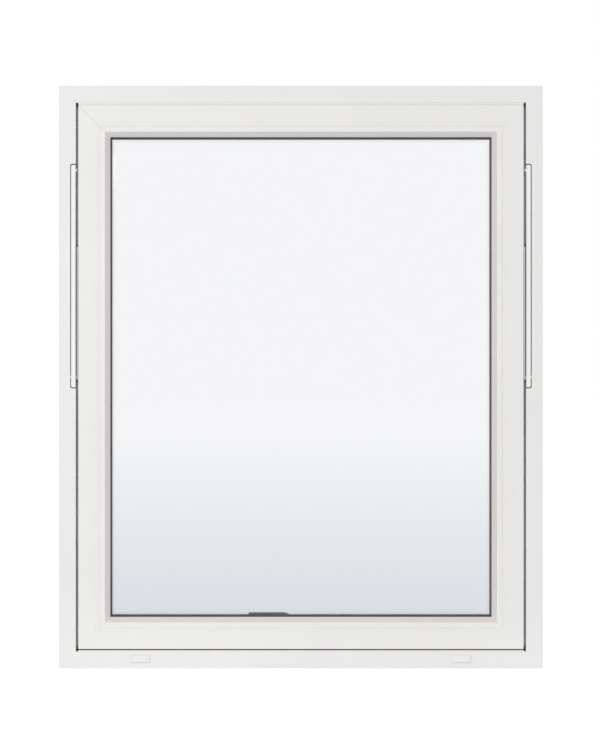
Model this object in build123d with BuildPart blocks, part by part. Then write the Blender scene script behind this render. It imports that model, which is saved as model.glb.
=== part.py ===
from build123d import *
import math
import os

os.makedirs("parts", exist_ok=True)

# A fully reversible pivot window: a welded frame, a sash with a triple glazed unit, and two swing arms.
# Millimetres. X runs along the sill, Y into the building, Z up. The origin is the middle of the sill's underside.
# A profile is drawn as (inset, depth): inset from its own outer edge, depth from its own weather face.

# Frame
frame_width = 980.0
frame_height = 1180.0
frame_depth = 120.0
frame_face = 34.0
edge_ease = 0.7
stop_height = 20.0
stop_ease = 2.0
anchor_groove_at = 18.0
anchor_groove_width = 10.0
anchor_groove_depth = 3.0
stop_groove_at = 8.0

# Sash and its running gaps
side_gap = 5.0
stop_gap = 7.0
sash_depth = 78.0
nose_depth = 28.0
nose_step = 3.0
sash_ease = 0.8
sash_face = 36.0
rebate_height = 8.0
leg_height = 18.0
leg_thickness = 11.0

# Glazing beads, on the weather side
bead_width = 28.0
bead_depth = 17.0
bead_foot_depth = 8.3
bead_flat = 18.0
bead_bevel_depth = 12.0
bead_groove_at = 6.0
bead_groove_width = 1.2
bead_groove_depth = 0.8
bead_joint = 0.5

# Triple glazed unit
pane_thickness = 4.0
pane_cavity = 16.0
pane_clearance = 5.0
spacer_width = 7.0
spacer_inset = 4.0
gasket_thickness = 3.0
gasket_inset = 1.0
gasket_lip = 3.5
gasket_lip_rise = 4.6
inner_lip = 2.5
block_length = 100.0
block_from_corner = 80.0

# Swing mechanism, seen from the side
pivot_depth = 16.0
arm_width = 20.0
arm_thickness = 2.5
arm_trim = 0.6
stud_radius = 5.0
stud_length = 8.0
stud_clearance = 0.05
track_offset = 22.0
guide_from_top = 14.0
guide_radius = 3.5
guide_wall = 1.0
guide_tip_gap = 1.8
track_slot = 11.0
track_rib = 1.5
track_rise = 3.5
track_end_gap = 7.0

# Hinge bars let into the weather face of the jambs
hinge_slot_width = 11.5
hinge_slot_depth = 28.0
hinge_slot_length = 455.0
hinge_slot_below_pivot = 23.0
hinge_slot_corner = 4.0
hinge_bar_width = 9.5
hinge_bar_end_gap = 2.0
hinge_bar_set_back = 0.6
hinge_bar_side_gap = 0.5
hinge_bar_corner = 3.0
hinge_bar_ease = 0.8
stay_radius = 3.0
stay_from_top = 13.0
stay_reach = 2.0
sash_plate_length = 90.0
sash_plate_thickness = 2.5

# Drain caps, weather strip and frame gasket
drain_from_end = 165.0
drain_length = 40.0
drain_height = 16.0
drain_low = 11.0
drain_proud = 1.0
drain_recess = 1.5
drain_corner = 2.0
drain_slot_width = 1.5
drain_slot_from_end = 7.0
strip_clearance = 0.6
strip_ease = 1.0
strip_front = 1.5
strip_depth = 6.0
seal_foot = 3.0
seal_foot_inset = 44.0
seal_lip = 2.5
seal_width = 8.0

# Fixing holes through the jambs
fixing_radius = 5.0
fixing_from_end = 100.0

# Lock strip along the bottom rail, and its keeps on the sill
lock_from_end = 70.0
lock_width = 16.0
lock_thickness = 2.5
lock_depth = 53.0
cam_from_end = 80.0
cam_radius = 3.5
cam_head_radius = 5.5
cam_drop = 4.5
cam_head = 1.5
keep_length = 60.0
keep_width = 18.0
keep_thickness = 2.0
keep_slot_length = 34.0
keep_slot_width = 12.5
keep_slot_depth = 1.2

# Handle on the room side of the bottom rail
handle_rise = 44.0
rosette_length = 65.0
rosette_height = 30.0
rosette_thickness = 10.0
rosette_corner = 6.0
rosette_ease = 2.0
neck_radius = 8.0
neck_clearance = 0.1
lever_stand_off = 27.0
lever_thickness = 11.0
lever_length = 108.4
lever_hub = 9.0
lever_bar = 12.0
lever_crank = 14.5
lever_crank_at = 34.0
lever_bend = 20.0
lever_tip_corner = 2.5
lever_ease = 2.5
spindle_side = 7.0
spindle_reach = 20.0
spindle_bore_radius = 5.5
spindle_bore_reach = 24.0

# Places worked out from the sizes above
front = -frame_depth / 2
stop_front = sash_depth + stop_gap
stop_top = frame_face + stop_height
left_edge = -frame_width / 2
sash_inset = frame_face + side_gap
sash_left = left_edge + sash_inset
sash_width = frame_width - 2 * sash_inset
sash_height = frame_height - 2 * sash_inset
sash_top = frame_height - sash_inset
rebate = sash_face + rebate_height
sightline = sash_face + bead_width
pane_inset = rebate + pane_clearance
pane_width = sash_width - 2 * pane_inset
pane_height = sash_height - 2 * pane_inset
unit_front = bead_depth + gasket_thickness
unit_depth = 3 * pane_thickness + 2 * pane_cavity
leg_front = unit_front + unit_depth + gasket_thickness
leg_top = rebate + leg_height
arm_side = frame_face + (side_gap - arm_thickness) / 2
handle_height = sash_inset + handle_rise
drain_spacing = frame_width - 2 * drain_from_end
lock_length = sash_width - 2 * lock_from_end
cam_spacing = lock_length - 2 * cam_from_end

# The arm turns about the jamb's middle. Its length lets the guide pin pass beside the pivot at half swing
pivot_height = frame_height / 2
guide_height = sash_top - guide_from_top
guide_depth = pivot_depth + track_offset
guide_travel = guide_height - pivot_height
arm_length = guide_travel**2 / (2 * (guide_travel + track_offset)) + arm_trim
tip_height = pivot_height + arm_length


def side_planes(width, height, inset):
    """Start plane and run of each side of an upright rectangle: local X points inward, local Y into the building."""
    half = width / 2
    low = inset
    high = inset + height
    return {
        "bottom": (Plane((half, front, low), x_dir=(0, 0, 1), z_dir=(-1, 0, 0)), width),
        "left": (Plane((-half, front, low), x_dir=(1, 0, 0), z_dir=(0, 0, 1)), height),
        "top": (Plane((-half, front, high), x_dir=(0, 0, -1), z_dir=(1, 0, 0)), width),
        "right": (Plane((half, front, high), x_dir=(-1, 0, 0), z_dir=(0, 0, -1)), height),
    }


frame_sides = side_planes(frame_width, frame_height, 0)
sash_sides = side_planes(sash_width, sash_height, sash_inset)


def mitred_bar(side, outline):
    """One side of a rectangle: the outline run along that side and cut at 45 degrees at both ends."""
    start, run = side
    along = start.z_dir
    inward = start.x_dir
    with BuildPart() as bar:
        with BuildSketch(start):
            with BuildLine():
                Polyline(*outline, close=True)
            make_face()
        extrude(amount=run)
        split(bisect_by=Plane(start.origin, z_dir=along - inward), keep=Keep.TOP)
        split(bisect_by=Plane(start.origin + along * run, z_dir=-along - inward), keep=Keep.TOP)
    return bar.part


def mitred_ring(sides, outline):
    """All four sides of a rectangle, welded into one closed ring."""
    bars = [mitred_bar(side, outline) for side in sides.values()]
    with BuildPart() as ring:
        add(bars)
    return ring.part


def band(inset, depth, width, thickness):
    """Outline of a plain rectangular strip."""
    return [(inset, depth), (inset + width, depth), (inset + width, depth + thickness), (inset, depth + thickness)]


def side_view(inset, depth, height):
    """A plane at the left side, facing the window's middle: local X is into the building, local Y is up."""
    return Plane((left_edge + inset, front + depth, height), x_dir=(0, 1, 0), z_dir=(1, 0, 0))


def room_view(depth, height):
    """A plane facing the room: local X is along the sill, local Y is up, and it is drawn from the weather side."""
    return Plane((0, front + depth, height), x_dir=(1, 0, 0), z_dir=(0, -1, 0))


def save(piece, name):
    piece.label = name
    export_step(piece, f"parts/{name}.step")


def save_pair(piece, name):
    """A left piece and its mirror image on the right."""
    with BuildPart() as other:
        mirror(piece, about=Plane.YZ)
    save(piece, f"{name}_left")
    save(other.part, f"{name}_right")


# Outlines of the two main profiles and of what is clipped to them. The outer side is grooved for the anchors
anchor_groove_end = anchor_groove_at + anchor_groove_width
frame_outline = [
    (edge_ease, 0),
    (frame_face - edge_ease, 0),
    (frame_face, edge_ease),
    (frame_face, stop_front),
    (0, stop_front),
    (0, anchor_groove_end),
    (anchor_groove_depth, anchor_groove_end),
    (anchor_groove_depth, anchor_groove_at),
    (0, anchor_groove_at),
    (0, edge_ease),
]
stop_groove_start = stop_front + stop_groove_at
stop_groove_end = stop_groove_start + anchor_groove_width
stop_outline = [
    (0, stop_front),
    (seal_foot_inset, stop_front),
    (seal_foot_inset, stop_front + seal_foot),
    (seal_foot_inset + seal_foot, stop_front + seal_foot),
    (seal_foot_inset + seal_foot, stop_front),
    (stop_top, stop_front),
    (stop_top, frame_depth - stop_ease),
    (stop_top - stop_ease, frame_depth),
    (0, frame_depth),
    (0, stop_groove_end),
    (anchor_groove_depth, stop_groove_end),
    (anchor_groove_depth, stop_groove_start),
    (0, stop_groove_start),
]
seal_outline = [
    (seal_foot_inset, stop_front + seal_foot),
    (seal_foot_inset, stop_front),
    (seal_foot_inset - seal_width / 4, stop_front),
    (seal_foot_inset, stop_front - seal_lip),
    (seal_foot_inset + seal_foot, stop_front - seal_lip),
    (seal_foot_inset + seal_width, stop_front),
    (seal_foot_inset + seal_foot, stop_front),
    (seal_foot_inset + seal_foot, stop_front + seal_foot),
]
sash_outline = [
    (sash_ease, 0),
    (sash_face - bead_joint, 0),
    (sash_face, bead_joint),
    (sash_face, bead_foot_depth),
    (rebate, bead_foot_depth),
    (rebate, leg_front),
    (leg_top, leg_front),
    (leg_top, sash_depth - sash_ease),
    (leg_top - sash_ease, sash_depth),
    (nose_step + sash_ease, sash_depth),
    (nose_step, sash_depth - sash_ease),
    (nose_step, nose_depth + nose_step),
    (0, nose_depth),
    (0, sash_ease),
]
groove_start = sash_face + bead_groove_at
groove_end = groove_start + bead_groove_width
bead_outline = [
    (sash_face, bead_joint),
    (sash_face + bead_joint, 0),
    (groove_start, 0),
    (groove_start, bead_groove_depth),
    (groove_end, bead_groove_depth),
    (groove_end, 0),
    (sash_face + bead_flat, 0),
    (sightline, bead_bevel_depth),
    (sightline, bead_depth),
    (rebate, bead_depth),
    (rebate, bead_foot_depth),
    (sash_face, bead_foot_depth),
]
lip_front = bead_depth - gasket_lip_rise
outer_gasket_outline = [
    (pane_inset + gasket_inset, bead_depth),
    (sightline, bead_depth),
    (sightline, lip_front),
    (sightline + gasket_lip / 2, lip_front + gasket_inset),
    (sightline + gasket_lip, unit_front),
    (pane_inset + gasket_inset, unit_front),
]
unit_back = unit_front + unit_depth
inner_gasket_outline = [
    (pane_inset + gasket_inset, unit_back),
    (leg_top + inner_lip, unit_back),
    (leg_top + inner_lip, leg_front),
    (leg_top, leg_front + gasket_inset),
    (leg_top, leg_front),
    (pane_inset + gasket_inset, leg_front),
]

# Frame sill, with shallow recesses for the drain caps and the two keeps
drain_middle = drain_low + drain_height / 2
drain_places = [(-drain_spacing / 2, 0), (drain_spacing / 2, 0)]
keep_places = [(-cam_spacing / 2, 0), (cam_spacing / 2, 0)]
sill_top = Plane((0, front + lock_depth, frame_face))
with BuildPart() as frame_sill:
    add(mitred_bar(frame_sides["bottom"], frame_outline))
    with BuildSketch(room_view(0, drain_middle)):
        with Locations(*drain_places):
            RectangleRounded(drain_length, drain_height, drain_corner)
    extrude(amount=-drain_recess, mode=Mode.SUBTRACT)
    with BuildSketch(sill_top):
        with Locations(*keep_places):
            Rectangle(keep_length, keep_width)
    extrude(amount=-keep_thickness, mode=Mode.SUBTRACT)
save(frame_sill.part, "frame_sill")

save(mitred_bar(frame_sides["top"], frame_outline), "frame_head")

# Jambs, with the slot for the hinge bar and the fixing holes
slot_middle = pivot_height - hinge_slot_below_pivot + hinge_slot_length / 2
fixing_half = frame_height / 2 - fixing_from_end
with BuildPart() as frame_jamb_left:
    add(mitred_bar(frame_sides["left"], frame_outline))
    with BuildSketch(side_view(frame_face - hinge_slot_width, 0, slot_middle)):
        Rectangle(hinge_slot_depth, hinge_slot_length, align=(Align.MIN, Align.CENTER))
    extrude(amount=hinge_slot_width, mode=Mode.SUBTRACT)
    slot_wall = left_edge + frame_face - hinge_slot_width
    slot_corners = frame_jamb_left.edges().filter_by(Axis.Y).filter_by_position(Axis.X, slot_wall - 1, slot_wall + 1)
    fillet(slot_corners, hinge_slot_corner)
    with BuildSketch(side_view(0, frame_depth / 2, frame_height / 2)):
        with Locations((0, -fixing_half), (0, fixing_half)):
            Circle(fixing_radius)
    extrude(amount=frame_face, mode=Mode.SUBTRACT)
save_pair(frame_jamb_left.part, "frame_jamb")

# Room-side stops that carry the frame gasket
for side, name in (("bottom", "stop_sill"), ("top", "stop_head")):
    save(mitred_bar(frame_sides[side], stop_outline), name)
save_pair(mitred_bar(frame_sides["left"], stop_outline), "stop_jamb")
save(mitred_ring(frame_sides, seal_outline), "frame_gasket")

# Weather strip under the head, just clear of the sash
strip_drop = side_gap - strip_clearance
with BuildPart() as head_weatherstrip:
    with BuildSketch(Plane((0, front + strip_front, frame_height - frame_face))):
        Rectangle(frame_width - 2 * sash_inset, strip_depth, align=(Align.CENTER, Align.MIN))
    extrude(amount=-strip_drop)
    fillet(head_weatherstrip.edges().filter_by(Axis.X).group_by(Axis.Z)[0], strip_ease)
save(head_weatherstrip.part, "head_weatherstrip")

# Drain caps on the sill's weather face
for hand, name in ((-1, "drain_cap_left"), (1, "drain_cap_right")):
    cap_plane = Plane(
        (hand * drain_spacing / 2, front + drain_recess, drain_middle), x_dir=(1, 0, 0), z_dir=(0, -1, 0)
    )
    with BuildPart() as drain_cap:
        with BuildSketch(cap_plane):
            RectangleRounded(drain_length, drain_height, drain_corner)
        extrude(amount=drain_recess + drain_proud)
        chamfer(drain_cap.faces().sort_by(Axis.Y)[0].edges(), drain_proud / 2)
        with BuildSketch(cap_plane.offset(drain_recess)):
            with Locations((drain_length / 2 - drain_slot_from_end, 0)):
                Rectangle(drain_slot_width, drain_height - 2 * drain_corner)
        extrude(amount=drain_proud, mode=Mode.SUBTRACT)
    save(drain_cap.part, name)

# Hinge bar in the jamb's slot, bored for the arm's root stud. A stay bears on the slot's wall beside the stud,
# and one near the top end reaches into the side gap
stay_depth = hinge_bar_set_back + hinge_bar_ease + stay_radius
bar_side = frame_face - hinge_bar_side_gap - hinge_bar_width
bar_length = hinge_slot_length - 2 * hinge_bar_end_gap
bar_depth = hinge_slot_depth - hinge_bar_set_back
with BuildPart() as hinge_bar_left:
    with BuildSketch(side_view(bar_side, hinge_bar_set_back, slot_middle)):
        Rectangle(bar_depth, bar_length, align=(Align.MIN, Align.CENTER))
    extrude(amount=hinge_bar_width)
    outer_ends = hinge_bar_left.edges().filter_by(Axis.Y).group_by(Axis.X)[0]
    fillet(outer_ends, hinge_bar_corner)
    chamfer(hinge_bar_left.faces().sort_by(Axis.Y)[0].edges(), hinge_bar_ease)
    with BuildSketch(side_view(frame_face - hinge_bar_side_gap, pivot_depth, pivot_height)):
        Circle(stud_radius + stud_clearance)
    extrude(amount=-stud_length, mode=Mode.SUBTRACT)
    with BuildSketch(side_view(frame_face - hinge_slot_width, stay_depth, pivot_height)):
        Circle(stay_radius)
    extrude(amount=hinge_slot_width - hinge_bar_side_gap - hinge_bar_width + stay_radius)
    with BuildSketch(side_view(frame_face + stay_reach, stay_depth, slot_middle + hinge_slot_length / 2 - stay_from_top)):
        Circle(stay_radius)
    extrude(amount=-(stay_reach + hinge_bar_side_gap + stay_radius))
save_pair(hinge_bar_left.part, "hinge_bar")

# Guide track: two ribs on the jamb, with the sash's guide pin running between them
track_length = frame_height - 2 * (frame_face + track_end_gap)
rib_places = [guide_depth - track_slot / 2 - track_rib, guide_depth + track_slot / 2]
with BuildPart() as guide_track_left:
    for rib_depth in rib_places:
        with BuildSketch(side_view(frame_face, rib_depth, frame_height / 2)):
            Rectangle(track_rib, track_length, align=(Align.MIN, Align.CENTER))
        extrude(amount=track_rise)
save_pair(guide_track_left.part, "guide_track")

# Keeps let into the sill's rebate
for hand, name in ((-1, "lock_keep_left"), (1, "lock_keep_right")):
    with BuildPart() as lock_keep:
        with BuildSketch(sill_top):
            with Locations((hand * cam_spacing / 2, 0)):
                Rectangle(keep_length, keep_width)
        extrude(amount=-keep_thickness)
        with BuildSketch(sill_top):
            with Locations((hand * cam_spacing / 2, 0)):
                SlotOverall(keep_slot_length, keep_slot_width)
        extrude(amount=-keep_slot_depth, mode=Mode.SUBTRACT)
    save(lock_keep.part, name)

# Sash rails. The bottom one has the lock strip's groove and the spindle's bore
rail_underside = Plane((0, front + lock_depth, sash_inset + nose_step))
with BuildPart() as sash_rail_bottom:
    add(mitred_bar(sash_sides["bottom"], sash_outline))
    with BuildSketch(rail_underside):
        Rectangle(lock_length, lock_width)
    extrude(amount=lock_thickness, mode=Mode.SUBTRACT)
    with BuildSketch(room_view(sash_depth, handle_height)):
        Circle(spindle_bore_radius)
    extrude(amount=spindle_bore_reach, mode=Mode.SUBTRACT)
save(sash_rail_bottom.part, "sash_rail_bottom")

save(mitred_bar(sash_sides["top"], sash_outline), "sash_rail_top")

# Stiles, with the hinge plate's recess, the arm stud's bore and the guide pin's bore, short of the mitre
guide_bore_depth = guide_from_top - nose_step - guide_radius - guide_wall
with BuildPart() as sash_stile_left:
    add(mitred_bar(sash_sides["left"], sash_outline))
    with BuildSketch(side_view(sash_inset, pivot_depth, tip_height)):
        Rectangle(arm_width, sash_plate_length)
    extrude(amount=sash_plate_thickness, mode=Mode.SUBTRACT)
    with BuildSketch(side_view(sash_inset, pivot_depth, tip_height)):
        Circle(stud_radius + stud_clearance)
    extrude(amount=stud_length + side_gap, mode=Mode.SUBTRACT)
    with BuildSketch(side_view(sash_inset + nose_step, guide_depth, guide_height)):
        Circle(guide_radius + stud_clearance)
    extrude(amount=guide_bore_depth, mode=Mode.SUBTRACT)
save_pair(sash_stile_left.part, "sash_stile")

# Hinge plates let flush into the stiles
with BuildPart() as sash_plate_left:
    with BuildSketch(side_view(sash_inset, pivot_depth, tip_height)):
        Rectangle(arm_width, sash_plate_length)
        Circle(stud_radius + stud_clearance, mode=Mode.SUBTRACT)
    extrude(amount=sash_plate_thickness)
save_pair(sash_plate_left.part, "sash_plate")

# Guide pins pressed into the stiles near the top
guide_tip = frame_face + guide_tip_gap
guide_root = sash_inset + nose_step + guide_bore_depth
with BuildPart() as guide_pin_left:
    with BuildSketch(side_view(guide_tip, guide_depth, guide_height)):
        Circle(guide_radius)
    extrude(amount=guide_root - guide_tip)
    chamfer(guide_pin_left.edges().sort_by(Axis.X)[0], guide_radius / 5)
save_pair(guide_pin_left.part, "guide_pin")

# Glazing beads
for side, name in (("bottom", "glazing_bead_bottom"), ("top", "glazing_bead_top")):
    save(mitred_bar(sash_sides[side], bead_outline), name)
save_pair(mitred_bar(sash_sides["left"], bead_outline), "glazing_bead")

# Panes, from the weather side inwards, and the spacers between them
pane_pitch = pane_thickness + pane_cavity
for place, name in enumerate(("pane_outer", "pane_middle", "pane_inner")):
    with BuildPart() as pane:
        with BuildSketch(room_view(unit_front + place * pane_pitch, frame_height / 2)):
            Rectangle(pane_width, pane_height)
        extrude(amount=-pane_thickness)
    save(pane.part, name)
for place, name in enumerate(("spacer_outer", "spacer_inner")):
    spacer_front = unit_front + place * pane_pitch + pane_thickness
    save(mitred_ring(sash_sides, band(pane_inset + spacer_inset, spacer_front, spacer_width, pane_cavity)), name)
save(mitred_ring(sash_sides, outer_gasket_outline), "glazing_gasket_outer")
save(mitred_ring(sash_sides, inner_gasket_outline), "glazing_gasket_inner")

# Setting blocks between the unit's edges and the rebate, two on each side
block_x = pane_width / 2 - block_from_corner - block_length / 2
block_z = pane_height / 2 - block_from_corner - block_length / 2
edge_x = (pane_width + pane_clearance) / 2
edge_z = (pane_height + pane_clearance) / 2
with BuildPart() as setting_blocks:
    with BuildSketch(room_view(unit_front, frame_height / 2)):
        with Locations((-block_x, -edge_z), (block_x, -edge_z), (-block_x, edge_z), (block_x, edge_z)):
            Rectangle(block_length, pane_clearance)
        with Locations((-edge_x, -block_z), (-edge_x, block_z), (edge_x, -block_z), (edge_x, block_z)):
            Rectangle(pane_clearance, block_length)
    extrude(amount=-unit_depth)
save(setting_blocks.part, "setting_blocks")

# Lock strip with its two mushroom cams
with BuildPart() as lock_strip:
    with BuildSketch(rail_underside):
        Rectangle(lock_length, lock_width)
    extrude(amount=lock_thickness)
    with BuildSketch(rail_underside):
        with Locations(*keep_places):
            Circle(cam_radius)
    extrude(amount=-cam_drop)
    with BuildSketch(rail_underside.offset(-cam_drop)):
        with Locations(*keep_places):
            Circle(cam_head_radius)
    extrude(amount=cam_head)
save(lock_strip.part, "lock_strip")

# Swing arm: a flat bar in the side gap, with a stud at each end
with BuildPart() as arm_left:
    with BuildSketch(side_view(arm_side, pivot_depth, pivot_height + arm_length / 2)):
        SlotCenterToCenter(arm_length, arm_width, rotation=90)
    extrude(amount=arm_thickness)
    with BuildSketch(side_view(arm_side, pivot_depth, pivot_height)):
        Circle(stud_radius)
    extrude(amount=-stud_length)
    with BuildSketch(side_view(arm_side + arm_thickness, pivot_depth, tip_height)):
        Circle(stud_radius)
    extrude(amount=stud_length)
save_pair(arm_left.part, "arm")

# Handle rosette on the room side of the bottom rail
with BuildPart() as handle_rosette:
    with BuildSketch(room_view(sash_depth, handle_height)):
        RectangleRounded(rosette_length, rosette_height, rosette_corner)
        Circle(neck_radius + neck_clearance, mode=Mode.SUBTRACT)
    extrude(amount=-rosette_thickness)
    rim = handle_rosette.faces().sort_by(Axis.Y)[-1].outer_wire().edges()
    fillet(rim, rosette_ease)
save(handle_rosette.part, "handle_rosette")

# Handle lever: a cranked flat bar on a round neck, with a square spindle
with BuildPart() as handle_lever:
    with BuildSketch(room_view(sash_depth + lever_stand_off, handle_height)) as lever_shape:
        with BuildLine():
            FilletPolyline((0, 0), (-lever_crank_at, lever_crank), (-lever_length, lever_crank), radius=lever_bend)
        trace(line_width=lever_bar)
        fillet(lever_shape.vertices().sort_by(Axis.X)[:2], lever_tip_corner)
        Circle(lever_hub)
    extrude(amount=-lever_thickness)
    fillet(handle_lever.faces().sort_by(Axis.Y)[-1].edges(), lever_ease)
    with BuildSketch(room_view(sash_depth + neck_clearance, handle_height)):
        Circle(neck_radius)
    extrude(amount=-lever_stand_off)
    with BuildSketch(room_view(sash_depth + neck_clearance, handle_height)):
        Rectangle(spindle_side, spindle_side)
    extrude(amount=spindle_reach)
save(handle_lever.part, "handle_lever")

# What the joints need: the arm's pivots, and how far the sash turns for each degree of arm
tilt_at_rest = math.degrees(math.asin(track_offset / (arm_length + track_offset)))
print("frame pivot", front + pivot_depth, pivot_height, "sash pivot", front + pivot_depth, round(tip_height, 2))
print("sash turns", round(1 - tilt_at_rest / 90, 4), "degrees per degree of arm, the other way")
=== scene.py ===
# %% [markdown]
# # A fully reversible pivot window
#
# A white welded window with a triple glazed sash. The sash hangs on two swing arms beside its stiles, so it
# can be turned right round for cleaning. The window arrives here as a finished set of solids, each at its
# real size and in its real place, and this lesson gives them their finishes, their small fastenings, a
# studio and a camera.
#
# Lengths are in metres. X runs along the sill, Y into the building and Z up. The origin is under the middle
# of the sill, and the weather face looks towards -Y.

# %% Load the window
import math

import bmesh
import bpy
from mathutils import Matrix, Vector


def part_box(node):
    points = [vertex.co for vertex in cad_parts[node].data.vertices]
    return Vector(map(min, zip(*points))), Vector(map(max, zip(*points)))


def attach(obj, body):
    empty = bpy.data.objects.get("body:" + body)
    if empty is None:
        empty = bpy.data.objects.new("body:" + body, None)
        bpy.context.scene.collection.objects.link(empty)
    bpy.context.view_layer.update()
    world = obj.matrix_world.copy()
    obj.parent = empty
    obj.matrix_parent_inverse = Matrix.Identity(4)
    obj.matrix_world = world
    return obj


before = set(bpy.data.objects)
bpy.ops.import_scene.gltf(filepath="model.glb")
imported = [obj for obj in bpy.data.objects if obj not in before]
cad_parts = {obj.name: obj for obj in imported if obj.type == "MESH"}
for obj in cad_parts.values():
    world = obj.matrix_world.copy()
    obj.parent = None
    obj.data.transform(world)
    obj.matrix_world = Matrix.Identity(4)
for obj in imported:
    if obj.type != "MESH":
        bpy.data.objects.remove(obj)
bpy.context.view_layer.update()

# %% [markdown]
# ## Measures that the finishes share
#
# The corner welds, the bevel on the beads and the screws all have to land on the profiles, so their places
# come from the solids themselves and not from numbers typed twice. The frame and the sash share one middle,
# and every mitre runs where the height left over equals the width left over. That one relation finds the
# weld on every corner.

# %% Measures
frame_low, frame_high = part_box("frame_jamb_left")
frame_middle = (frame_low.z + frame_high.z) / 2
frame_half_width = -frame_low.x
frame_half_height = (frame_high.z - frame_low.z) / 2
mitre_offset = frame_half_height - frame_half_width
weather_face = frame_low.y

sash_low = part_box("sash_stile_left")[0]
sash_half_width = -sash_low.x
sash_half_height = frame_middle - sash_low.z
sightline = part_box("glazing_bead_left")[1].x - sash_low.x
print("sash", round(2 * sash_half_width, 4), "x", round(2 * sash_half_height, 4))
print("sightline", round(sightline, 4))

# %% [markdown]
# ## Small helpers for node trees
#
# A finish is a chain of nodes, and most of the chains here are short sums on coordinates. These helpers
# keep them readable: one adds a node and fills its sockets from numbers or from other nodes, and the rest
# do one kind of sum.

# %% Node helpers
def fill_socket(tree, socket, value):
    """Link the socket to another node's output, or set it to a plain value."""
    if isinstance(value, bpy.types.NodeSocket):
        tree.links.new(value, socket)
    elif value is not None:
        socket.default_value = value


def add_node(tree, kind, *values, **settings):
    """Add a node, set its options, then fill its inputs in order. None leaves an input as it is."""
    node = tree.nodes.new(kind)
    for name, setting in settings.items():
        setattr(node, name, setting)
    for socket, value in zip(node.inputs, values):
        fill_socket(tree, socket, value)
    return node


def calculate(tree, operation, *values):
    return add_node(tree, "ShaderNodeMath", *values, operation=operation).outputs[0]


def choose(tree, factor, first, second):
    """A number between first and second."""
    return add_node(tree, "ShaderNodeMix", factor, None, first, second).outputs[0]


def mix_colours(tree, factor, first, second):
    node = add_node(tree, "ShaderNodeMix", factor, data_type="RGBA")
    fill_socket(tree, node.inputs[6], first)
    fill_socket(tree, node.inputs[7], second)
    return node.outputs[2]


def ease(tree, value, low, high, start, end):
    """Map value from low..high to start..end along a soft S, and hold it at both ends."""
    values = (value, low, high, start, end)
    return add_node(tree, "ShaderNodeMapRange", *values, interpolation_type="SMOOTHSTEP").outputs[0]


def noise(tree, place, scale, detail):
    """A cloudy pattern between 0 and 1."""
    node = tree.nodes.new("ShaderNodeTexNoise")
    fill_socket(tree, node.inputs["Vector"], place)
    node.inputs["Scale"].default_value = scale
    node.inputs["Detail"].default_value = detail
    return node.outputs[0]


def object_place(tree):
    """Where a point lies on the window, with its X, Y and Z."""
    place = tree.nodes.new("ShaderNodeTexCoord").outputs["Object"]
    return place, add_node(tree, "ShaderNodeSeparateXYZ", place).outputs


# %% [markdown]
# ## Groups
#
# A group is a small node tree that several finishes use with values of their own. Its sockets are declared
# on its interface, and inside it reads them from a Group Input node and hands its answers to a Group Output
# node.

# %% Start a group
NUMBER = "NodeSocketFloat"
COLOUR = "NodeSocketColor"


def start_group(name, inputs, outputs):
    """A shader group. Each input is (name, kind, default), and each output is (name, kind)."""
    group = bpy.data.node_groups.new(name, "ShaderNodeTree")
    for label, kind, default in inputs:
        socket = group.interface.new_socket(label, in_out="INPUT", socket_type=kind)
        socket.default_value = default
    for label, kind in outputs:
        group.interface.new_socket(label, in_out="OUTPUT", socket_type=kind)
    return group, group.nodes.new("NodeGroupInput").outputs, group.nodes.new("NodeGroupOutput").inputs


# %% [markdown]
# ### Welded profile
#
# The frame, the sash, the beads and the gaskets are bars cut at 45 degrees and joined at the corners. A
# welded corner shows as one thin line, a little darker than the bar and slightly sunk, and an extruded bar
# carries very faint lines along its length from the die. Both follow from where a point lies on the window,
# so the group reads the object coordinates. Painting them by hand would need an unwrapped mesh for each
# bar. In the photograph the weld at the upper left is the plainest and the lower ones hardly show, so the
# line fades with the distance from that corner.

# %% Group: welded profile
weld_fades_out = 0.2
weld_is_plain = 3.1 * frame_half_width
faintest_weld = 0.08
stretch = 0.01
lines_per_metre = 900.0
clouds_per_metre = 5.0
roughness_spread = 0.12

welded, given, result = start_group(
    "Welded profile",
    [
        ("Colour", COLOUR, (0.8, 0.8, 0.8, 1)),
        ("Second colour", COLOUR, (0.75, 0.75, 0.75, 1)),
        ("Weld colour", COLOUR, (0.6, 0.6, 0.6, 1)),
        ("Weld width", NUMBER, 0.0006),
        ("Die lines", NUMBER, 0.2),
        ("Roughness", NUMBER, 0.35),
    ],
    [("Colour", COLOUR), ("Roughness", NUMBER), ("Height", NUMBER)],
)
place, (place_x, place_y, place_z) = object_place(welded)
from_side = calculate(welded, "ABSOLUTE", place_x)
from_middle = calculate(welded, "ABSOLUTE", calculate(welded, "SUBTRACT", place_z, frame_middle))
left_over = calculate(welded, "SUBTRACT", from_middle, from_side)
past_mitre = calculate(welded, "SUBTRACT", left_over, mitre_offset)
on_line = ease(welded, calculate(welded, "ABSOLUTE", past_mitre), 0.0, given["Weld width"], 1.0, 0.0)
up_and_left = calculate(welded, "SUBTRACT", place_z, place_x)
plainness = ease(welded, up_and_left, weld_fades_out, weld_is_plain, faintest_weld, 1.0)
weld = calculate(welded, "MULTIPLY", on_line, plainness)

on_rail = calculate(welded, "GREATER_THAN", past_mitre, 0.0)
across = choose(welded, on_rail, place_x, place_z)
along = choose(welded, on_rail, place_z, place_x)
along = calculate(welded, "MULTIPLY", along, stretch)
stretched = add_node(welded, "ShaderNodeCombineXYZ", across, place_y, along).outputs[0]
die_lines = noise(welded, stretched, lines_per_metre, 2.0)
clouds = noise(welded, place, clouds_per_metre, 3.0)

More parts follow.
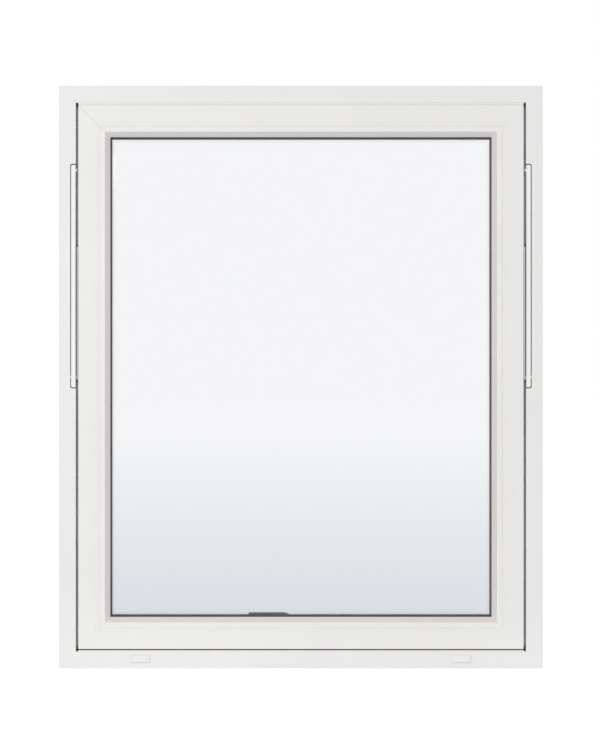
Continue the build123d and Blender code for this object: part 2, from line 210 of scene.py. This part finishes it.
tone = ease(welded, clouds, 0.3, 0.7, 0.0, 1.0)
plain_colour = mix_colours(welded, tone, given["Colour"], given["Second colour"])
fill_socket(welded, result["Colour"], mix_colours(welded, weld, plain_colour, given["Weld colour"]))
rubbed = calculate(welded, "MULTIPLY", calculate(welded, "SUBTRACT", clouds, 0.5), roughness_spread)
fill_socket(welded, result["Roughness"], calculate(welded, "ADD", given["Roughness"], rubbed))
ridges = calculate(welded, "MULTIPLY", die_lines, given["Die lines"])
fill_socket(welded, result["Height"], calculate(welded, "SUBTRACT", ridges, weld))
print("welded profile:", len(welded.nodes), "nodes")

# %% [markdown]
# ### Fine grain
#
# Powder coat, moulded plastic and zinc plate have no direction, but none of them is perfectly even. Their
# group mixes two tones by a broad cloud, and raises a fine grain whose size each finish sets for itself:
# orange peel on powder coat, spangle on zinc, and almost nothing on a moulded cap.

# %% Group: fine grain
broad_clouds_per_metre = 24.0

grain, given, result = start_group(
    "Fine grain",
    [
        ("Colour", COLOUR, (0.8, 0.8, 0.8, 1)),
        ("Second colour", COLOUR, (0.7, 0.7, 0.7, 1)),
        ("Grains per metre", NUMBER, 800.0),
        ("Roughness", NUMBER, 0.4),
        ("Roughness spread", NUMBER, 0.1),
    ],
    [("Colour", COLOUR), ("Roughness", NUMBER), ("Height", NUMBER)],
)
place = object_place(grain)[0]
fine = noise(grain, place, 1.0, 2.0)
grain.links.new(given["Grains per metre"], fine.node.inputs["Scale"])
broad = noise(grain, place, broad_clouds_per_metre, 3.0)
fill_socket(grain, result["Colour"], mix_colours(grain, broad, given["Colour"], given["Second colour"]))
swing = calculate(grain, "MULTIPLY", calculate(grain, "SUBTRACT", fine, 0.5), given["Roughness spread"])
fill_socket(grain, result["Roughness"], calculate(grain, "ADD", given["Roughness"], swing))
fill_socket(grain, result["Height"], fine)
print("fine grain:", len(grain.nodes), "nodes")


# %% [markdown]
# ## Finishes
#
# Each finish is one material built round a Principled shader. The group gives what changes over the
# surface, and what is the same all over, such as metallic or the coat, is set on the shader itself, where
# it is easy to find.

# %% Start a finish
def start_finish(name, group, values, bump, depth):
    """A material whose colour, roughness and relief come from a group, with its tree and shader."""
    material = bpy.data.materials.new(name)
    material.use_nodes = True
    tree = material.node_tree
    shader = tree.nodes["Principled BSDF"]
    pattern = add_node(tree, "ShaderNodeGroup", *values, node_tree=group)
    relief = tree.nodes.new("ShaderNodeBump")
    relief.inputs["Strength"].default_value = bump
    relief.inputs["Distance"].default_value = depth
    tree.links.new(pattern.outputs["Height"], relief.inputs["Height"])
    tree.links.new(pattern.outputs["Colour"], shader.inputs["Base Color"])
    tree.links.new(pattern.outputs["Roughness"], shader.inputs["Roughness"])
    tree.links.new(relief.outputs[0], shader.inputs["Normal"])
    return material, tree, shader


def tint(tree, shader, mask, colour):
    """Lay a colour over the shader's present one where the mask is 1."""
    present = shader.inputs["Base Color"].links[0].from_socket
    fill_socket(tree, shader.inputs["Base Color"], mix_colours(tree, mask, present, colour))


def dress(material, *names):
    """Give a finish to pieces of the window."""
    for name in names:
        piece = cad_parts[name]
        if not piece.material_slots:
            piece.data.materials.append(material)
        for slot in piece.material_slots:
            slot.material = material
    print(material.name, "on", len(names), "pieces")


# %% [markdown]
# ### White welded plastic
#
# The frame and the sash are white plastic with a soft gloss. Seen close, the white is a little warm, and
# the weld at each corner is a hair line. The frame and the sash get their own materials because they are
# two colours on many such windows, and a user may want to repaint one of them.

# %% Finish: frame and sash plastic
frame_white, _, shader = start_finish(
    "Frame plastic",
    welded,
    [(0.845, 0.837, 0.822, 1), (0.825, 0.817, 0.802, 1), (0.66, 0.65, 0.64, 1), 0.0006, 0.12, 0.38],
    0.25,
    0.0004,
)
shader.inputs["Coat Weight"].default_value = 0.1
dress(frame_white, "frame_sill", "frame_head", "frame_jamb_left", "frame_jamb_right")
dress(frame_white, "stop_sill", "stop_head", "stop_jamb_left", "stop_jamb_right")

sash_white, _, shader = start_finish(
    "Sash plastic",
    welded,
    [(0.85, 0.842, 0.828, 1), (0.83, 0.822, 0.808, 1), (0.56, 0.55, 0.54, 1), 0.0009, 0.12, 0.36],
    0.25,
    0.0004,
)
shader.inputs["Coat Weight"].default_value = 0.1
dress(sash_white, "sash_rail_bottom", "sash_rail_top", "sash_stile_left", "sash_stile_right")

# %% [markdown]
# ### Glazing beads
#
# A bead is the same plastic, clipped in and not welded, so its mitre is an open joint and a little darker.
# Its sloping face is painted a darker, faintly pink grey: the pink is its own tint and the darkening is
# painted shade for the slope. The slope starts at a fixed distance from the sash's outer edge on all four
# sides, so the smaller of the two distances to the sash's edges tells the flat from the slope.

# %% Finish: bead plastic
bead_white, tree, shader = start_finish(
    "Bead plastic",
    welded,
    [(0.85, 0.842, 0.828, 1), (0.83, 0.822, 0.808, 1), (0.46, 0.45, 0.45, 1), 0.0007, 0.12, 0.36],
    0.25,
    0.0004,
)
shader.inputs["Coat Weight"].default_value = 0.1
place_x, _, place_z = object_place(tree)[1]
side_inset = calculate(tree, "SUBTRACT", sash_half_width, calculate(tree, "ABSOLUTE", place_x))
rise = calculate(tree, "ABSOLUTE", calculate(tree, "SUBTRACT", place_z, frame_middle))
rail_inset = calculate(tree, "SUBTRACT", sash_half_height, rise)
inset = calculate(tree, "MINIMUM", side_inset, rail_inset)
slope_width = 0.010
slope_start = sightline - slope_width
tint_starts = slope_start - 0.0002
tint_full = slope_start + 0.0004
slope_shade_and_tint = ease(tree, inset, tint_starts, tint_full, 0.0, 1.0)
# The slope's tint is partly the bead's own pinkish grey and partly painted shade that darkens the sloping
# face.
tint(tree, shader, slope_shade_and_tint, (0.785, 0.742, 0.738, 1))
dress(bead_white, "glazing_bead_bottom", "glazing_bead_top", "glazing_bead_left", "glazing_bead_right")

# %% [markdown]
# ### Rubber
#
# The gaskets are matt black rubber, lighter than true black because rubber scatters light at a low angle.
# The sheen lobe does that. Their corners are welded too, so they use the same group as the profiles.

# %% Finish: rubber
rubber, _, shader = start_finish(
    "Black rubber",
    welded,
    [(0.055, 0.055, 0.056, 1), (0.07, 0.07, 0.071, 1), (0.025, 0.025, 0.026, 1), 0.0005, 0.4, 0.6],
    0.35,
    0.0003,
)
shader.inputs["Sheen Weight"].default_value = 0.15
shader.inputs["Sheen Roughness"].default_value = 0.5
dress(rubber, "frame_gasket", "glazing_gasket_outer", "glazing_gasket_inner")

# %% [markdown]
# ### Weather strip
#
# The strip under the head is a dense white pile, which closes the gap without rubbing hard. Its hairs stand
# across the gap, so a noise squeezed along the strip and stretched down it looks like rows of fibre.

# %% Finish: weather strip pile
hair_stretch = 0.06
hairs_per_metre = 2500.0
pile = bpy.data.materials.new("White pile")
pile.use_nodes = True
tree = pile.node_tree
shader = tree.nodes["Principled BSDF"]
place_x, place_y, place_z = object_place(tree)[1]
down_hair = calculate(tree, "MULTIPLY", place_z, hair_stretch)
hair_place = add_node(tree, "ShaderNodeCombineXYZ", place_x, place_y, down_hair).outputs[0]
hairs = noise(tree, hair_place, hairs_per_metre, 3.0)
hair_colour = mix_colours(tree, hairs, (0.80, 0.79, 0.78, 1), (0.90, 0.89, 0.88, 1))
fill_socket(tree, shader.inputs["Base Color"], hair_colour)
fill_socket(tree, shader.inputs["Roughness"], choose(tree, hairs, 0.8, 0.95))
relief = add_node(tree, "ShaderNodeBump")
relief.inputs["Strength"].default_value = 0.6
relief.inputs["Distance"].default_value = 0.0004
tree.links.new(hairs, relief.inputs["Height"])
tree.links.new(relief.outputs[0], shader.inputs["Normal"])
dress(pile, "head_weatherstrip")

# %% [markdown]
# ### Powder coat, caps and hardware
#
# The bars in the jambs are powder coated, the caps over the drains are moulded, and the arms, plates, keeps
# and pins are zinc plated steel. All of them are the same group with other colours, grain sizes and shader
# settings. Two details are drawn by distance, to follow the photograph: a painted highlight along the face
# of each bar, and a thin painted shadow round the rim of each cap, stronger below and to the right.

# %% Finish: powder coat
crown_from_edge = 0.0064
crown_core = 0.0008
crown_reach = 0.0022
powder, tree, shader = start_finish(
    "White powder coat",
    grain,
    [(0.845, 0.838, 0.83, 1), (0.825, 0.818, 0.81, 1), 700.0, 0.34, 0.06],
    0.2,
    0.0002,
)
shader.inputs["Coat Weight"].default_value = 0.2
bar_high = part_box("hinge_bar_right")[1]
crown_line = bar_high.x - crown_from_edge
place_x = object_place(tree)[1][0]
off_crown = calculate(tree, "SUBTRACT", calculate(tree, "ABSOLUTE", place_x), crown_line)
crown_highlight = ease(tree, calculate(tree, "ABSOLUTE", off_crown), crown_core, crown_reach, 1.0, 0.0)
# The lighter line along each bar's face is a painted highlight, standing in for light on the bar's crown.
tint(tree, shader, crown_highlight, (0.92, 0.915, 0.91, 1))
dress(powder, "hinge_bar_left", "hinge_bar_right")

# %% Finish: moulded caps
shaded_width = 0.0008
lit_width = 0.0005
lit_share = 0.6
cap_white, tree, shader = start_finish(
    "Moulded cap",
    grain,
    [(0.85, 0.843, 0.832, 1), (0.83, 0.823, 0.812, 1), 2500.0, 0.5, 0.08],
    0.15,
    0.0001,
)
cap_low, cap_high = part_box("drain_cap_right")
cap_middle = (cap_low + cap_high) / 2
place_x, _, place_z = object_place(tree)[1]
side = calculate(tree, "SIGN", place_x)
over = calculate(tree, "SUBTRACT", place_x, calculate(tree, "MULTIPLY", side, cap_middle.x))
half_cap = (cap_high.x - cap_low.x) / 2
right_inset = calculate(tree, "SUBTRACT", half_cap, over)
left_inset = calculate(tree, "ADD", half_cap, over)
lower_inset = calculate(tree, "SUBTRACT", place_z, cap_low.z)
upper_inset = calculate(tree, "SUBTRACT", cap_high.z, place_z)
shaded_inset = calculate(tree, "MINIMUM", right_inset, lower_inset)
shaded_rim = ease(tree, shaded_inset, shaded_width, 2 * shaded_width, 1.0, 0.0)
lit_inset = calculate(tree, "MINIMUM", left_inset, upper_inset)
lit_rim = ease(tree, lit_inset, lit_width, 2 * lit_width, lit_share, 0.0)
rim_shadow = calculate(tree, "MAXIMUM", shaded_rim, lit_rim)
# The darker rim is a painted shadow round each cap's edge: full on the shaded lower and right sides, weaker
# on the lit upper and left sides.
tint(tree, shader, rim_shadow, (0.60, 0.59, 0.58, 1))
dress(cap_white, "drain_cap_left", "drain_cap_right")

# %% Finish: zinc plate
zinc, _, shader = start_finish(
    "Zinc plated steel",
    grain,
    [(0.60, 0.61, 0.63, 1), (0.50, 0.51, 0.52, 1), 450.0, 0.34, 0.18],
    0.12,
    0.0001,
)
shader.inputs["Metallic"].default_value = 1.0
dress(zinc, "arm_left", "arm_right", "sash_plate_left", "sash_plate_right")
dress(zinc, "guide_pin_left", "guide_pin_right", "lock_strip", "lock_keep_left", "lock_keep_right")

# %% [markdown]
# ### Aluminium track
#
# The guide track is an extrusion like the profiles, but bare metal, so its die lines are easy to see. It
# uses the welded group with strong lines, and its ends never reach a corner, so no weld shows.

# %% Finish: mill aluminium
aluminium, _, shader = start_finish(
    "Mill aluminium",
    welded,
    [(0.68, 0.69, 0.70, 1), (0.62, 0.63, 0.64, 1), (0.5, 0.5, 0.5, 1), 0.0002, 0.9, 0.38],
    0.3,
    0.0002,
)
shader.inputs["Metallic"].default_value = 1.0
dress(aluminium, "guide_track_left", "guide_track_right")

# %% [markdown]
# ### Satin handle
#
# The handle is dark satin metal, brushed along its length. Brushing is a noise stretched along X, and it
# changes the roughness as well as the relief, so that highlights break up into fine streaks.

# %% Finish: satin handle metal
stroke_stretch = 0.03
strokes_per_metre = 3000.0
satin = bpy.data.materials.new("Dark satin metal")
satin.use_nodes = True
tree = satin.node_tree
shader = tree.nodes["Principled BSDF"]
shader.inputs["Metallic"].default_value = 1.0
place_x, place_y, place_z = object_place(tree)[1]
along_brush = calculate(tree, "MULTIPLY", place_x, stroke_stretch)
brush_place = add_node(tree, "ShaderNodeCombineXYZ", along_brush, place_y, place_z).outputs[0]
brushing = noise(tree, brush_place, strokes_per_metre, 3.0)
brushed_colour = mix_colours(tree, brushing, (0.11, 0.11, 0.115, 1), (0.20, 0.20, 0.205, 1))
fill_socket(tree, shader.inputs["Base Color"], brushed_colour)
fill_socket(tree, shader.inputs["Roughness"], choose(tree, brushing, 0.26, 0.44))
relief = add_node(tree, "ShaderNodeBump")
relief.inputs["Strength"].default_value = 0.25
relief.inputs["Distance"].default_value = 0.0001
tree.links.new(brushing, relief.inputs["Height"])
tree.links.new(relief.outputs[0], shader.inputs["Normal"])
dress(satin, "handle_lever", "handle_rosette")

# %% [markdown]
# ### Inside the glass unit
#
# The spacers are grey warm-edge bars with a row of tiny holes that let the drying agent breathe. The holes
# face the cavity, so they are drawn by distance along the bar: a wave repeated every 4 mm, cut off to small
# dots. The dots are painted near-black, as painted shade for the dark inside of each hole.

# %% Finish: spacer bar
radians_per_metre = 1570.0
hole_radius = 0.0003
spacer_grey, tree, shader = start_finish(
    "Warm-edge bar",
    grain,
    [(0.10, 0.10, 0.105, 1), (0.13, 0.13, 0.135, 1), 1200.0, 0.55, 0.1],
    0.2,
    0.0001,
)
place_x, place_y, place_z = object_place(tree)[1]
along_bar = calculate(tree, "ADD", place_x, place_z)
wave = calculate(tree, "SINE", calculate(tree, "MULTIPLY", along_bar, radians_per_metre))
cavity_low, cavity_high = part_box("spacer_outer")
cavity_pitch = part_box("spacer_inner")[0].y - cavity_low.y
half_cavity = (cavity_high.y - cavity_low.y) / 2
past_cavity = calculate(tree, "SUBTRACT", place_y, cavity_low.y)
in_cavity = calculate(tree, "FLOORED_MODULO", past_cavity, cavity_pitch)
off_row = calculate(tree, "ABSOLUTE", calculate(tree, "SUBTRACT", in_cavity, half_cavity))
row = ease(tree, off_row, hole_radius, 2 * hole_radius, 1.0, 0.0)
hole_shade_dots = calculate(tree, "MULTIPLY", row, ease(tree, wave, 0.2, 0.6, 0.0, 1.0))
# The near-black dots are painted shade standing in for the inside of each hole.
tint(tree, shader, hole_shade_dots, (0.01, 0.01, 0.01, 1))
dress(spacer_grey, "spacer_outer", "spacer_inner")

# %% Finish: setting blocks
block_blue, _, shader = start_finish(
    "Setting block",
    grain,
    [(0.06, 0.14, 0.36, 1), (0.05, 0.12, 0.32, 1), 900.0, 0.5, 0.1],
    0.2,
    0.0001,
)
dress(block_blue, "setting_blocks")

# %% [markdown]
# ### Clear glass
#
# A pane is a real block of glass 4 mm thick, so it bends and reflects light by itself. Glass also blocks
# the straight shadow rays that the lamps use, and six blocked surfaces would leave the reveal behind the
# window black. A shadow ray therefore sees plain transparency instead, which the Light Path node tells
# apart.

# %% Finish: glass
glass = bpy.data.materials.new("Clear glass")
glass.use_nodes = True
tree = glass.node_tree
shader = tree.nodes["Principled BSDF"]
shader.inputs["Transmission Weight"].default_value = 1.0
shader.inputs["IOR"].default_value = 1.5
shader.inputs["Base Color"].default_value = (0.990, 0.996, 0.998, 1)
shader.inputs["Roughness"].default_value = 0.0
open_way = add_node(tree, "ShaderNodeBsdfTransparent", (0.97, 0.98, 0.98, 1))
light_path = tree.nodes.new("ShaderNodeLightPath")
both = add_node(
    tree,
    "ShaderNodeMixShader",
    light_path.outputs["Is Shadow Ray"],
    shader.outputs[0],
    open_way.outputs[0],
)
tree.links.new(both.outputs[0], tree.nodes["Material Output"].inputs["Surface"])
dress(glass, "pane_outer", "pane_middle", "pane_inner")


# %% [markdown]
# ## Small fastenings
#
# The solids leave out small fasteners, so they are made here. A screw head is a low dome with a cross
# recess. Turning a profile gives the dome, and a Boolean with two crossed wedges cuts the recess. One mesh
# then serves every screw of a size, because objects can share a mesh and differ only in where they stand.

# %% Screw head
def turned(profile, steps):
    """Revolve (radius, height) points about Z and close the bottom."""
    shape = bmesh.new()
    points = [shape.verts.new((radius, 0.0, height)) for radius, height in profile]
    edges = [shape.edges.new(pair) for pair in zip(points, points[1:])]
    bmesh.ops.spin(
        shape,
        geom=points + edges,
        cent=(0, 0, 0),
        axis=(0, 0, 1),
        angle=math.tau,
        steps=steps,
        use_merge=True,
    )
    bmesh.ops.remove_doubles(shape, verts=shape.verts, dist=0.000001)
    bmesh.ops.recalc_face_normals(shape, faces=shape.faces)
    return shape


def cross_wedges(reach, width, depth, height):
    """Two tapered bars, crossed, that cut the recess."""
    narrow_end = 0.55
    overshoot = 0.0004
    shape = bmesh.new()
    for turn in (0.0, math.pi / 2):
        bar = bmesh.ops.create_cube(shape, size=1.0)["verts"]
        for corner in bar:
            taper = narrow_end if corner.co.z < 0 else 1.0
            corner.co.x *= 2 * reach * taper
            corner.co.y *= width * taper
            corner.co.z = height + overshoot if corner.co.z > 0 else height - depth
        bmesh.ops.rotate(shape, verts=bar, cent=(0, 0, 0), matrix=Matrix.Rotation(turn, 3, "Z"))
    return shape


def as_object(shape, name):
    mesh = bpy.data.meshes.new(name)
    shape.to_mesh(mesh)
    shape.free()
    piece = bpy.data.objects.new(name, mesh)
    bpy.context.scene.collection.objects.link(piece)
    return piece


def screw_head(name, radius, height):
    """A domed head with a cross recess, standing on Z = 0."""
    profile = [(0.0, -height), (radius, -height), (radius, 0.0), (0.93 * radius, 0.55 * height)]
    profile += [(0.7 * radius, 0.9 * height), (0.35 * radius, height), (0.0, height)]
    head = as_object(turned(profile, 32), name)
    cutter = as_object(cross_wedges(0.55 * radius, 0.26 * radius, 1.2 * height, height), name + "_cut")
    cut = head.modifiers.new("recess", "BOOLEAN")
    cut.operation = "DIFFERENCE"
    cut.solver = "EXACT"
    cut.use_self = True
    cut.object = cutter
    bpy.context.view_layer.update()
    finished = bpy.data.meshes.new_from_object(head.evaluated_get(bpy.context.evaluated_depsgraph_get()))
    bpy.data.objects.remove(head)
    bpy.data.objects.remove(cutter)
    finished.name = name
    finished.materials.append(zinc)
    return finished


screw_radius = 0.0026
screw_rise = 0.0004
small_screw = screw_head("small_screw", screw_radius, screw_rise)
print("screw head:", len(small_screw.polygons), "faces")


# %% [markdown]
# ### Where the screws go
#
# Each screw is set by the piece that it holds: along the lock strip, at the ends of the keeps and plates,
# and down the guide tracks. Their heads stand less than half a millimetre proud, so the arms and the guide
# pins pass over them.

# %% Place screws
def place_screw(name, place, facing, body):
    screw = bpy.data.objects.new(name, small_screw)
    bpy.context.scene.collection.objects.link(screw)
    turn = Vector(facing).to_track_quat("Z", "Y").to_matrix().to_4x4()
    screw.matrix_world = Matrix.Translation(place) @ turn
    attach(screw, body)
    return screw


keep_screw_inset = 0.006
plate_screw_inset = 0.012
nose_step = 0.003
strip_screw_shares = (-0.92, -0.6, -0.2, 0.2, 0.6, 0.92)
strip_low, strip_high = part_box("lock_strip")
strip_face = sash_low.z + nose_step
strip_depth = (strip_low.y + strip_high.y) / 2
for count, share in enumerate(strip_screw_shares):
    place = (share * strip_high.x, strip_depth, strip_face)
    place_screw(f"strip_screw_{count + 1}", place, (0, 0, -1), "sash")

for side in ("left", "right"):
    keep_low, keep_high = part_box("lock_keep_" + side)
    for count, x in enumerate((keep_low.x + keep_screw_inset, keep_high.x - keep_screw_inset)):
        place = (x, (keep_low.y + keep_high.y) / 2, keep_high.z)
        place_screw(f"keep_screw_{side}_{count + 1}", place, (0, 0, 1), "frame")

for side, sign in (("left", -1), ("right", 1)):
    plate_low, plate_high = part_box("sash_plate_" + side)
    for count, z in enumerate((plate_low.z + plate_screw_inset, plate_high.z - plate_screw_inset)):
        place = (sign * sash_half_width, (plate_low.y + plate_high.y) / 2, z)
        place_screw(f"plate_screw_{side}_{count + 1}", place, (sign, 0, 0), "sash")

# %% [markdown]
# ### Floor of the guide track
#
# The two ribs of a track are the walls of one channel. Its floor is a foil-thin web between them, screwed
# to the jamb every 180 mm or so. It is a flat strip with its long edges bevelled, made as a mesh of its
# own.

# %% Track floor
track_screws = 6
web = 0.0004
web_bevel = 0.0001
rib_width = 0.0015
for side, sign in (("left", 1), ("right", -1)):
    track_low, track_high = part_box("guide_track_" + side)
    jamb_face = track_low.x if sign > 0 else track_high.x
    near = track_low.y + rib_width
    far = track_high.y - rib_width
    shape = bmesh.new()
    bmesh.ops.create_cube(shape, size=1.0)
    for corner in shape.verts:
        corner.co.x = jamb_face + (sign * web if corner.co.x > 0 else 0.0)
        corner.co.y = far if corner.co.y > 0 else near
        corner.co.z = track_high.z if corner.co.z > 0 else track_low.z
    bmesh.ops.recalc_face_normals(shape, faces=shape.faces)
    bmesh.ops.bevel(shape, geom=list(shape.edges), offset=web_bevel, segments=1, affect="EDGES")
    floor_strip = as_object(shape, "track_floor_" + side)
    floor_strip.data.materials.append(aluminium)
    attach(floor_strip, "frame")
    for count in range(track_screws):
        z = track_low.z + (count + 0.5) * (track_high.z - track_low.z) / track_screws
        place = (jamb_face + sign * web, (near + far) / 2, z)
        place_screw(f"track_screw_{side}_{count + 1}", place, (sign, 0, 0), "frame")
print("track screws:", 2 * track_screws)

# %% [markdown]
# ### Rows of pile
#
# The strip under the head has soft tips that almost reach the sash, so hardly any gap shows there. The gap
# under the sash is half closed by a low strip of the same white pile, stood on the sill just behind its
# face. It stays two and a half millimetres short of the sash, so that the rail clears it as it swings out.
# Both rows end in a sawtooth of tufts, which keeps them from looking like plain bars.

# %% Pile rows
head_strip_low, head_strip_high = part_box("head_weatherstrip")
tufts = 300
short_tuft = 0.9
lean = 0.0006


def pile_row(name, root, tip):
    """A row of tufts as long and as deep as the head strip, from its root height to its tips."""
    front_y, back_y = head_strip_low.y, head_strip_high.y
    shape = bmesh.new()
    rows = []
    for count in range(tufts + 1):
        x = head_strip_low.x + count * (head_strip_high.x - head_strip_low.x) / tufts
        end = root + (tip - root) * (1.0 if count % 2 else short_tuft)
        outline = [(front_y + lean, root), (front_y + 1.5 * lean, end)]
        outline += [(back_y - 1.5 * lean, end), (back_y - lean, root)]
        rows.append([shape.verts.new((x, y, z)) for y, z in outline])
    for near_row, far_row in zip(rows, rows[1:]):
        for first in range(4):
            second = (first + 1) % 4
            shape.faces.new((near_row[first], near_row[second], far_row[second], far_row[first]))
    shape.faces.new(rows[0])
    shape.faces.new(rows[-1])
    bmesh.ops.recalc_face_normals(shape, faces=shape.faces)
    row = as_object(shape, name)
    row.data.materials.append(pile)
    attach(row, "frame")
    print(name, round(abs(tip - root) * 1000, 2), "mm high with", tufts, "tufts")


sill_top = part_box("frame_sill")[1].z
sash_top = frame_middle + sash_half_height
pile_row("sill_weatherstrip", sill_top, (sill_top + sash_low.z) / 2)
rooted_in_strip = 0.0003
short_of_sash = 0.0001
pile_row("head_pile_tips", head_strip_low.z + rooted_in_strip, sash_top + short_of_sash)

# %% [markdown]
# ## Studio
#
# The window stands on a plain pale floor in an even white room. The world gives most of the light, because
# light on a product shot is soft. It answers each kind of ray with its own colour: white for the camera, so
# that the background is clean, and a cool white for what is seen through the glass.

# %% World
view_distance = 5.0
floor_size = 80.0
world = bpy.data.worlds.new("Even room")
bpy.context.scene.world = world
world.use_nodes = True
tree = world.node_tree
rays = tree.nodes.new("ShaderNodeLightPath").outputs
seen_through_glass = (0.932, 0.921, 0.930, 1)
ambient = (0.828, 0.828, 0.833, 1)
sky = mix_colours(tree, rays["Is Glossy Ray"], ambient, (0.9, 0.9, 0.9, 1))
sky = mix_colours(tree, rays["Is Transmission Ray"], sky, seen_through_glass)
sky = mix_colours(tree, rays["Is Camera Ray"], sky, (1, 1, 1, 1))
fill_socket(tree, tree.nodes["Background"].inputs["Color"], sky)

# %% [markdown]
# The floor is white to the camera and keeps the window's soft shadow, because part of its white is ordinary
# diffuse paint. Through the glass it shows a glowing colour that darkens towards the window. This is
# painted shade, like the falloff of a studio floor whose light comes from far away.

# %% Floor
falloff_reach = 0.6
far_nearness = 0.12
close_nearness = 0.48
own_light = 0.74
bpy.ops.mesh.primitive_plane_add(size=floor_size, location=(0, 0, 0))
floor = bpy.context.object
floor.name = "floor"
paint = bpy.data.materials.new("Pale floor")
paint.use_nodes = True
tree = paint.node_tree
tree.nodes.remove(tree.nodes["Principled BSDF"])
rays = tree.nodes.new("ShaderNodeLightPath").outputs
place = tree.nodes.new("ShaderNodeTexCoord").outputs["Object"]
distance = add_node(tree, "ShaderNodeVectorMath", place, operation="LENGTH").outputs["Value"]
past_camera = calculate(tree, "ADD", distance, view_distance)
nearness = calculate(tree, "DIVIDE", falloff_reach * view_distance, past_camera)
limits = (far_nearness, close_nearness, 0.0, 1.0)
falloff = add_node(tree, "ShaderNodeMapRange", nearness, *limits).outputs[0]
# Seen through the glass, the floor glows with painted shade that grows darker towards the window.
floor_shade_through_glass = mix_colours(tree, falloff, seen_through_glass, (0.715, 0.726, 0.760, 1))
through_glass = add_node(tree, "ShaderNodeEmission", floor_shade_through_glass, 1.0)
white = add_node(tree, "ShaderNodeEmission", (1, 1, 1, 1), own_light)
shaded = add_node(tree, "ShaderNodeBsdfDiffuse", (0.36, 0.36, 0.36, 1))
background = add_node(tree, "ShaderNodeAddShader", white.outputs[0], shaded.outputs[0])
plain = add_node(tree, "ShaderNodeBsdfDiffuse", (0.92, 0.92, 0.92, 1))
direct = calculate(tree, "MAXIMUM", rays["Is Camera Ray"], rays["Is Glossy Ray"])
mixed = add_node(tree, "ShaderNodeMixShader", direct, plain.outputs[0], background.outputs[0])
mixed = add_node(
    tree, "ShaderNodeMixShader", rays["Is Transmission Ray"], mixed.outputs[0], through_glass.outputs[0]
)
tree.links.new(mixed.outputs[0], tree.nodes["Material Output"].inputs["Surface"])
floor.data.materials.append(paint)

# %% [markdown]
# Three lights add a little to the even room. A soft sun from the upper left leaves the slopes that face
# down or to the right a little darker. A lamp near the left side lets the light fall off towards the right,
# and a low strip in front of the sill lifts the light on its face. The last two stand close to the window,
# so they are hidden from the camera and from reflections.

# %% Lights
def add_light(name, kind, energy, position, target):
    """A light that looks from its position towards the target."""
    light = bpy.data.lights.new(name, kind)
    light.energy = energy
    holder = bpy.data.objects.new(name, light)
    bpy.context.scene.collection.objects.link(holder)
    holder.location = position
    towards = Vector(target) - Vector(position)
    holder.rotation_euler = towards.to_track_quat("-Z", "Y").to_euler()
    return holder


key = add_light("upper_left", "SUN", 0.28, (-0.7, -3.5, 3.2), (0, 0, frame_middle))
key.data.angle = 0.9

near_lamp = add_light("near_left", "AREA", 3.4, (-0.9, -1.7, 0.8), (-0.2, 0, 0.6))
near_lamp.data.shape = "SQUARE"
near_lamp.data.size = 0.8

card_rise = 0.03
card_distance = 0.12
card_place = (0, weather_face - card_distance, card_rise)
card_target = (0, weather_face, card_rise)
sill_card = add_light("sill_card", "AREA", 0.05, card_place, card_target)
sill_card.data.shape = "RECTANGLE"
sill_card.data.size = 1.1
sill_card.data.size_y = 0.06

for unseen in (near_lamp, sill_card):
    unseen.visible_camera = False
    unseen.visible_glossy = False

# %% [markdown]
# ## Camera
#
# The photograph looks at the window from straight in front and far away: both jambs look the same, and the
# sides of the frame don't show. The camera stands 5 m from the weather face. Its lens is set by that
# distance, so that the window keeps its size in the picture, and its height and side step put the window
# where the photograph has it.

# %% Camera
lens_per_metre = 23.7
side_step = -0.0019
camera_rise = 0.5941
camera_data = bpy.data.cameras.new("front_view")
camera_data.sensor_fit = "VERTICAL"
camera_data.sensor_height = 36.0
camera_data.lens = lens_per_metre * view_distance
camera_data.clip_end = 200.0
camera = bpy.data.objects.new("front_view", camera_data)
bpy.context.scene.collection.objects.link(camera)
camera.location = (side_step, weather_face - view_distance, camera_rise)
camera.rotation_euler = (math.pi / 2, 0, 0)
bpy.context.scene.camera = camera
bpy.context.scene.view_settings.view_transform = "Standard"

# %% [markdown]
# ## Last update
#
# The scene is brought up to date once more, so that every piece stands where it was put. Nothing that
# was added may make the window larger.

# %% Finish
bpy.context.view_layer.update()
